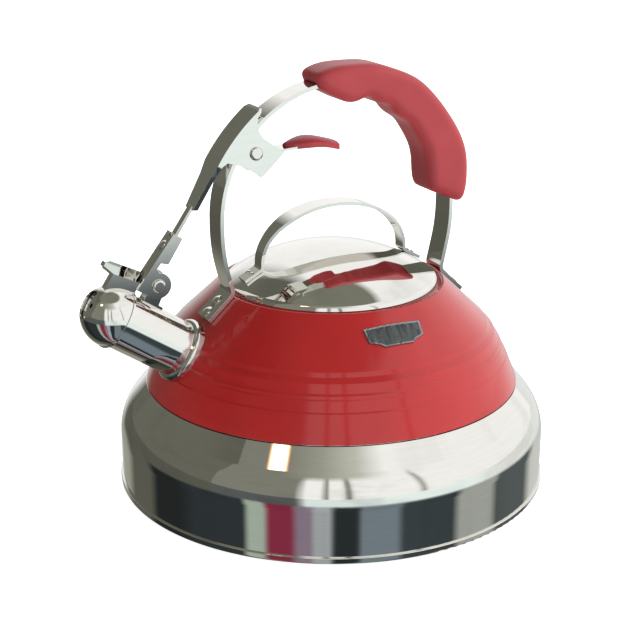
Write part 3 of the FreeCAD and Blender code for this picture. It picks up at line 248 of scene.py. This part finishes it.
# Cast aluminium, shut inside: dull and pale.
aluminium, tree, shader, place = material("cast_aluminium")
cast = node(tree, "TexNoise", Vector=place, Scale=400.0, Detail=5.0)
wire(shader, Metallic=1.0, Roughness=0.5,
     Base_Color=node(tree, "ValToRGB", stops=[(0.3, "#b4b6b8"), (0.7, "#cdcfd0")], Fac=cast))
finished(aluminium, "base_core_disc")


# ---------------------------------------------------------------- lower body
# The wall and shoulder are deep-drawn from one stainless sheet, buffed to a mirror. The metal
# is never quite flat, so straight edges waver a little in it, and the buffing leaves a haze.
def mirror_steel(name, waver, haze):
    """Buffed stainless steel with a waver of the sheet in metres and a haze (roughness)."""
    made, tree, shader, place = material(name)
    sheet = node(tree, "TexNoise", Vector=place, Scale=28.0, Detail=1.0)
    buff = node(tree, "Mapping", Vector=place, Scale=(60, 60, 900))
    marks = node(tree, "TexNoise", Vector=buff, Scale=1.0, Detail=6.0)
    wavy = node(tree, "Bump", Strength=0.5, Distance=waver, Height=sheet)
    wire(shader, Metallic=1.0,
         Base_Color=node(tree, "ValToRGB", stops=[(0.25, "#e0ded8"), (0.75, "#e6e4df")],
                         Fac=marks),
         Roughness=node(tree, "ValToRGB", stops=[(0.35, haze), (0.8, haze * 1.35)], Fac=marks),
         Normal=node(tree, "Bump", Strength=0.02, Distance=0.02 * MM, Height=marks,
                     Normal=wavy))
    return made


body_steel = mirror_steel("buffed_stainless_body", 0.12 * MM, 0.035)
finished(body_steel, "bottom_pan", "lower_body_shell", "neck_ring")

# ---------------------------------------------------------------- upper body
# The dome is pressed with rings round it, dipped in red vitreous enamel and fired. The thick
# enamel rounds the rings' edges.
# Vitreous enamel: a glassy gloss over the red, with the faintest sag and orange peel.
enamel, tree, shader, place = material("red_vitreous_enamel")
fired = node(tree, "TexNoise", Vector=place, Scale=35.0, Detail=3.0)
peel = node(tree, "TexNoise", Vector=place, Scale=420.0, Detail=1.0)
sag = node(tree, "Bump", Strength=0.25, Distance=0.18 * MM, Height=fired)
skin = node(tree, "Bump", Strength=0.08, Distance=0.05 * MM, Height=peel, Normal=sag)
wire(shader, Roughness=0.32, Specular_IOR_Level=0.3, IOR=1.5, Normal=skin,
     Base_Color=node(tree, "ValToRGB", stops=[(0.3, "#a01416"), (0.7, "#a91719")], Fac=fired),
     Coat_Weight=0.7, Coat_Roughness=0.025, Coat_IOR=1.5, Coat_Normal=skin)


def picked(item):
    """Makes a piece the only one selected."""
    bpy.ops.object.select_all(action="DESELECT")
    item.select_set(True)
    bpy.context.view_layer.objects.active = item


def reworked(name, source):
    """A merged copy of a CAD node that replaces it, at the origin, ready to be finished."""
    made = bpy.data.objects.new(name, nodes[source].data.copy())
    bpy.context.collection.objects.link(made)
    picked(made)
    bpy.ops.object.mode_set(mode="EDIT")
    bpy.ops.mesh.select_all(action="SELECT")
    bpy.ops.mesh.remove_doubles(threshold=0.01 * MM)
    bpy.ops.mesh.dissolve_limited(angle_limit=math.radians(0.4))
    bpy.ops.object.mode_set(mode="OBJECT")
    made.data.materials.clear()
    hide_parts(source)
    return made


def worked(item, kind, **settings):
    """Adds a modifier with its settings to a piece, and applies it."""
    made = item.modifiers.new(kind.lower(), kind)
    for name, value in settings.items():
        setattr(made, name, value)
    picked(item)
    bpy.ops.object.modifier_apply(modifier=made.name)


dome = reworked("enamelled_dome", "upper_body_shell")
worked(dome, "BEVEL", width=0.33 * MM, segments=3, limit_method="ANGLE",
       angle_limit=math.radians(14))
bpy.ops.object.shade_smooth_by_angle(angle=math.radians(50))
dome.data.materials.append(enamel)
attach(dome, "kettle")

# ---------------------------------------------------------------- lid
# The lid is one shallow dome pressed from the same sheet, with a rounded edge, a skirt welded
# under it, and a bent strap for a handle held by four small rivets.
SHARP = math.radians(35)
CURVED = math.radians(65)


def eased(item, width):
    """Rounds a pressed piece's sharp edges by a width, and shades its flat faces as flat."""
    worked(item, "BEVEL", width=width, segments=2, limit_method="ANGLE", angle_limit=SHARP)
    bpy.ops.object.shade_smooth_by_angle(angle=CURVED)
    worked(item, "WEIGHTED_NORMAL", weight=80, keep_sharp=True)


lid_steel = mirror_steel("buffed_stainless_lid", 0.05 * MM, 0.03)
finished(lid_steel, "lid_disc", "lid_skirt", "lid_handle_rivets")
lid_strap = reworked("lid_strap", "lid_handle")
eased(lid_strap, 0.35 * MM)
lid_strap.data.materials.append(lid_steel)
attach(lid_strap, "lid")

# ---------------------------------------------------------------- badge
# A small pressed shield on the front of the dome: a steel border round a dark blank face, which
# is sunk a little into the plate.
# Satin steel for the border, grey rather than white, with a fine even grain.
badge_steel, tree, shader, place = material("satin_badge_steel")
satin = node(tree, "TexNoise", Vector=place, Scale=1500.0, Detail=2.0)
wire(shader, Metallic=1.0, Roughness=0.35,
     Base_Color=node(tree, "ValToRGB", stops=[(0.3, "#8f9596"), (0.7, "#a4aaab")], Fac=satin))
# Screen-printed face: a dark grey lacquer, satin, a little speckled.
lacquer, tree, shader, place = material("dark_grey_lacquer")
speckle = node(tree, "TexNoise", Vector=place, Scale=1200.0, Detail=3.0)
wire(shader, Roughness=0.35,
     Base_Color=node(tree, "ValToRGB", stops=[(0.35, "#33383a"), (0.65, "#43494b")],
                     Fac=speckle))
BADGE_TILT = math.radians(43)
BADGE_BORDER = 0.8 * MM
BADGE_SUNK = 0.15 * MM
LACQUER_SLOT = 1
shield = reworked("badge_shield", "badge")
shield.data.materials.append(badge_steel)
shield.data.materials.append(lacquer)
outward = Vector((0, -math.sin(BADGE_TILT), math.cos(BADGE_TILT)))
bpy.ops.object.mode_set(mode="EDIT")
bpy.ops.mesh.select_all(action="DESELECT")
bpy.ops.object.mode_set(mode="OBJECT")
for face in shield.data.polygons:
    face.select = face.normal.dot(outward) > 0.9
bpy.ops.object.mode_set(mode="EDIT")
bpy.ops.mesh.select_mode(type="FACE")
bpy.ops.mesh.inset(thickness=BADGE_BORDER, depth=-BADGE_SUNK)
shield.active_material_index = LACQUER_SLOT
bpy.ops.object.material_slot_assign()
bpy.ops.object.mode_set(mode="OBJECT")
bpy.ops.object.shade_smooth_by_angle(angle=math.radians(25))
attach(shield, "kettle")

# ---------------------------------------------------------------- spout and cap
# The spout is a rolled tube brazed into the dome under a spun collar. The whistling cap is spun
# steel over its end, with two drilled discs across its mouth that make the whistle.
spout_steel = mirror_steel("buffed_stainless_spout", 0.03 * MM, 0.03)
finished(spout_steel, "spout_tube", "spout_collar", "whistle_cap_shell", "whistle_outer_disc",
         "whistle_inner_disc")

# ---------------------------------------------------------------- strap, lever and linkage
# The handle's strap, the trigger's lever, and the cap's clevis, arm and finger tab are blanked
# and folded from sheet, then tumbled and polished, which rounds their edges.
plate_steel = mirror_steel("polished_stainless_plate", 0.02 * MM, 0.05)
finished(plate_steel, "cap_pivot_pin", "arm_rivet", "arm_cross_pin", "trigger_pivot_pin",
         "front_handle_rivets", "rear_handle_rivets", "trigger_bracket", "cap_return_spring")
for name, source, body, rounding in (("clevis", "spout_bracket", "kettle", 0.2 * MM),
                                     ("arm", "cap_arm", "cap", 0.4 * MM),
                                     ("finger_tab", "cap_thumb_tab", "cap", 0.3 * MM),
                                     ("handle_band", "handle_strap", "kettle", 0.5 * MM),
                                     ("lever", "trigger_lever", "trigger", 0.45 * MM)):
    piece = reworked(name, source)
    eased(piece, rounding)
    piece.data.materials.append(plate_steel)
    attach(piece, body)

# ---------------------------------------------------------------- grip
# The grip is moulded in two halves round the strap, with finger waves below. Its edges are
# softened all over, as a moulding's are.
# Satin red nylon with a fine spark-eroded grain.
nylon, tree, shader, place = material("moulded_red_nylon")
cloud = node(tree, "TexNoise", Vector=place, Scale=60.0, Detail=3.0)
spark = node(tree, "TexNoise", Vector=place, Scale=1600.0, Detail=3.0)
wire(shader, IOR=1.5,
     Base_Color=node(tree, "ValToRGB", stops=[(0.3, "#962b31"), (0.7, "#9d3036")], Fac=cloud),
     Roughness=node(tree, "ValToRGB", stops=[(0.3, 0.36), (0.7, 0.46)], Fac=spark),
     Normal=node(tree, "Bump", Strength=0.25, Distance=0.08 * MM, Height=spark))
grip = reworked("moulded_grip", "grip")
worked(grip, "REMESH", mode="VOXEL", voxel_size=0.9 * MM)
worked(grip, "SMOOTH", factor=0.5, iterations=5)
bpy.ops.object.shade_smooth()
grip.data.materials.append(nylon)
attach(grip, "kettle")

# ---------------------------------------------------------------- trigger's finger pad
# A leaf of the same nylon moulded on the lever's tongue: pointed at the lever, arched over the
# finger and drooping at its round end.
PAD_LENGTH = 28.2 * MM
PAD_HALF_WIDTH = 7.8 * MM
PAD_LEVEL = 174.28 * MM
PAD_OVERLAP = 1.2 * MM
PAD_POINT = 0.28
PAD_ROUND_FROM = 0.72
PAD_ARCH = 2.0 * MM
PAD_DROOP = 1.6 * MM
PAD_SIDE_DROOP = 0.6 * MM
PAD_THIN = 1.3 * MM
pad_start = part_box("trigger_pad")[0][0] - PAD_OVERLAP
bpy.ops.mesh.primitive_cube_add(size=1, location=(0, 0, 0))
pad = bpy.context.object
pad.name = "finger_pad"
bpy.ops.object.mode_set(mode="EDIT")
bpy.ops.mesh.subdivide(number_cuts=7)
bpy.ops.object.mode_set(mode="OBJECT")
# Seen from above it widens fast from its point and ends in a half round. Its long sides are
# rolled over, and it is thinnest at the point.
for point in pad.data.vertices:
    along = point.co.x + 0.5
    side = 2 * point.co.y
    high = 2 * point.co.z
    round_end = math.sqrt(max(0.0, 1 - max(0.0, along - PAD_ROUND_FROM) ** 2 / 0.13))
    taper = min(1.0, PAD_POINT + 2.1 * along) * round_end
    middle = 0.2 * MM + PAD_ARCH * math.sin(math.pi * along) - PAD_DROOP * along ** 2
    half_thick = PAD_THIN * (1 + math.sin(math.pi * min(0.8, 0.1 + along)))
    rolled_side = math.sqrt(1 - 0.75 * abs(side) ** 3)
    point.co = Vector((pad_start + PAD_LENGTH * along, PAD_HALF_WIDTH * taper * side,
                       PAD_LEVEL + middle + half_thick * high * rolled_side
                       - PAD_SIDE_DROOP * side ** 2))
worked(pad, "SUBSURF", levels=2, render_levels=2)
bpy.ops.object.shade_smooth()
pad.data.materials.append(nylon)
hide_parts("trigger_pad")
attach(pad, "trigger")
